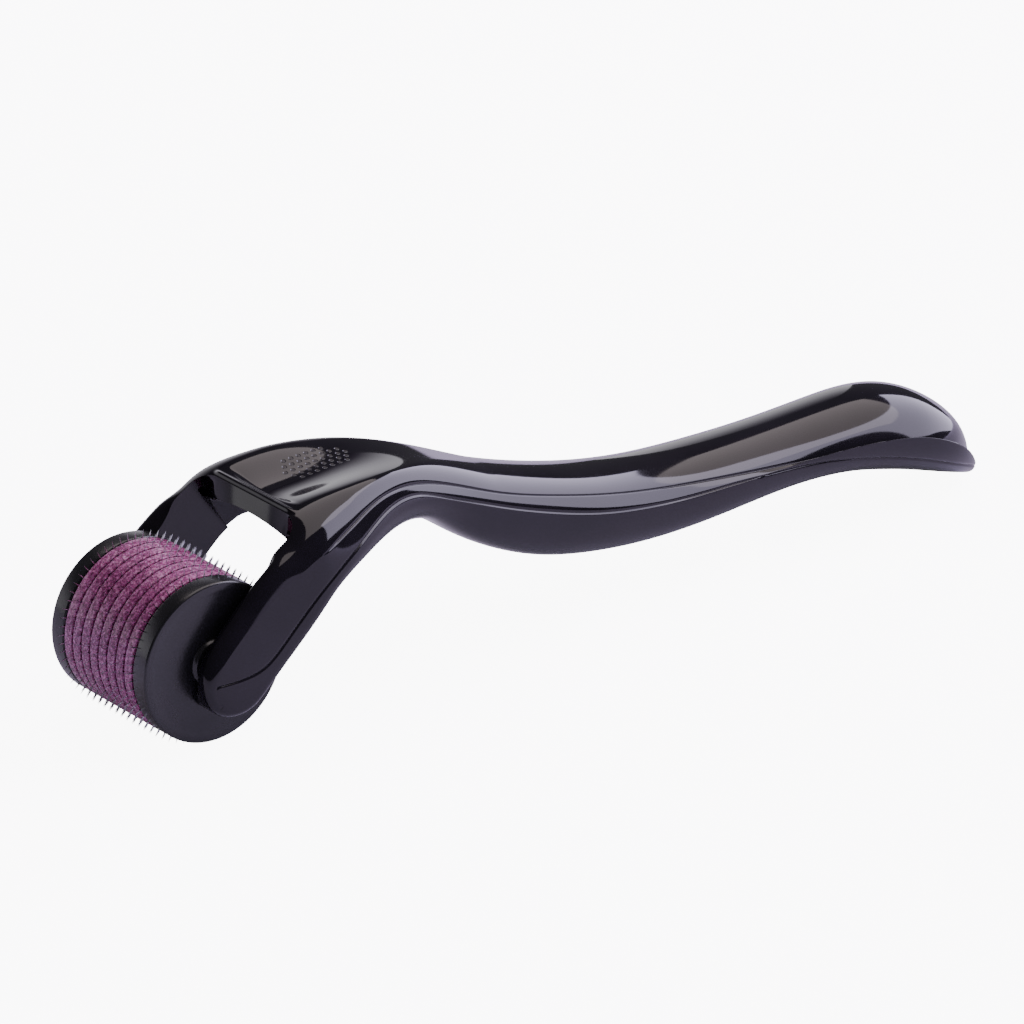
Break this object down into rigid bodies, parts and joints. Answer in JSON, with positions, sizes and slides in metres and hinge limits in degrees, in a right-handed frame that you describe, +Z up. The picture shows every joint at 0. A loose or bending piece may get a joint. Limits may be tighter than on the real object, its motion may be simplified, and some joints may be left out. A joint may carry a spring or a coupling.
{
  "type": "derma roller",
  "caption": "Hand-held skin needling roller: a drum of thin needle discs and spacer rings turning on an axle in the fork of a glossy S-curved handle.",
  "frame": {"origin": "on the resting surface, straight under the middle of the axle, midway between the two flanges", "axes": "+X from the roller to the tail of the handle, +Y along the axle, +Z up from the resting surface"},
  "size_m": [0.1405, 0.0276, 0.0281],
  "materials": {
    "black_plastic": "glossy moulded",
    "black_flange_plastic": "satin moulded",
    "magenta_plastic": "translucent moulded",
    "needle_steel": "etched sheet",
    "steel": "ground",
    "white_nylon": "moulded"
  },
  "bodies": {
    "handle": {"handle_top_shell": "black_plastic", "handle_bottom_shell": "black_plastic", "axle": "steel", "axle_bush_left": "white_nylon", "axle_bush_right": "white_nylon"},
    "roller": {"drum_core": "magenta_plastic", "flange_left": "black_flange_plastic", "flange_right": "black_flange_plastic", "needle_disc_1": "needle_steel", "needle_disc_2": "needle_steel", "needle_disc_3": "needle_steel", "needle_disc_4": "needle_steel", "needle_disc_5": "needle_steel", "needle_disc_6": "needle_steel", "needle_disc_7": "needle_steel", "needle_disc_8": "needle_steel", "needle_disc_9": "needle_steel", "spacer_ring_1": "magenta_plastic", "spacer_ring_2": "magenta_plastic", "spacer_ring_3": "magenta_plastic", "spacer_ring_4": "magenta_plastic", "spacer_ring_5": "magenta_plastic", "spacer_ring_6": "magenta_plastic", "spacer_ring_7": "magenta_plastic", "spacer_ring_8": "magenta_plastic"}
  },
  "joints": [
    {"name": "roller_spin", "type": "hinge", "parent": "handle", "child": "roller", "pos_m": [0, 0, 0.0115], "axis": [0, 1, 0], "continuous": true}
  ]
}
